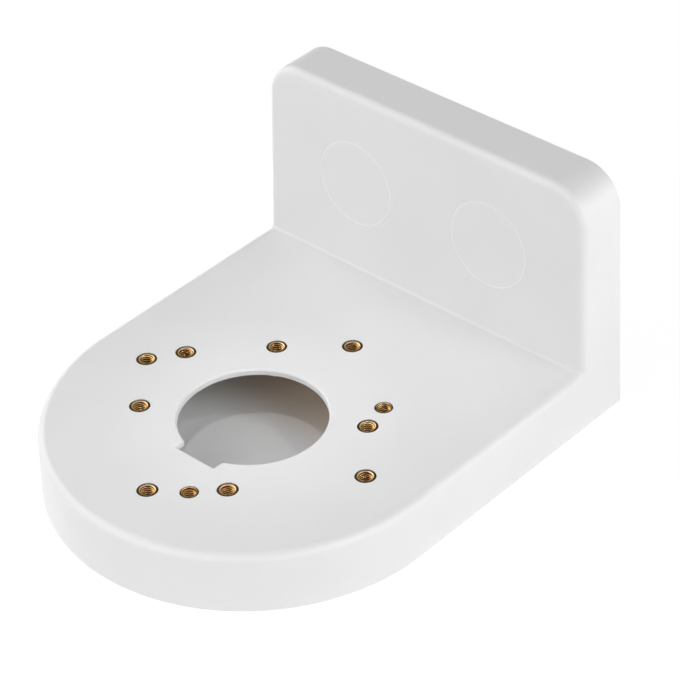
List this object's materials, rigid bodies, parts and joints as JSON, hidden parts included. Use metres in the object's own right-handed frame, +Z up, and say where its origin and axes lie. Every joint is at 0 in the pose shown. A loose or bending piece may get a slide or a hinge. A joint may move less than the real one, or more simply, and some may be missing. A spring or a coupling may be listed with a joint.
{
  "type": "camera wall bracket",
  "caption": "L-shaped moulded wall bracket: a D-shaped platform with a cable hole and brass threaded inserts, and a hollow wall box with covered screw wells.",
  "frame": {"origin": "centre of the cable hole on the camera face, where the screw circles are centred too", "axes": "+X along the wall, +Y towards the wall, +Z up, square to the camera face"},
  "size_m": [0.121, 0.1497, 0.0778],
  "materials": {
    "white_plastic": "satin",
    "cover_plastic": "satin",
    "insert_brass": "machined"
  },
  "bodies": {
    "root": {"bracket_shell": "white_plastic", "outer_insert_1": "insert_brass", "outer_insert_2": "insert_brass", "outer_insert_3": "insert_brass", "outer_insert_4": "insert_brass", "inner_insert_1": "insert_brass", "inner_insert_2": "insert_brass", "inner_insert_3": "insert_brass", "inner_insert_4": "insert_brass", "middle_insert_1": "insert_brass", "middle_insert_2": "insert_brass", "middle_insert_3": "insert_brass", "screw_cover_left": "cover_plastic", "screw_cover_right": "cover_plastic"}
  },
  "joints": []
}
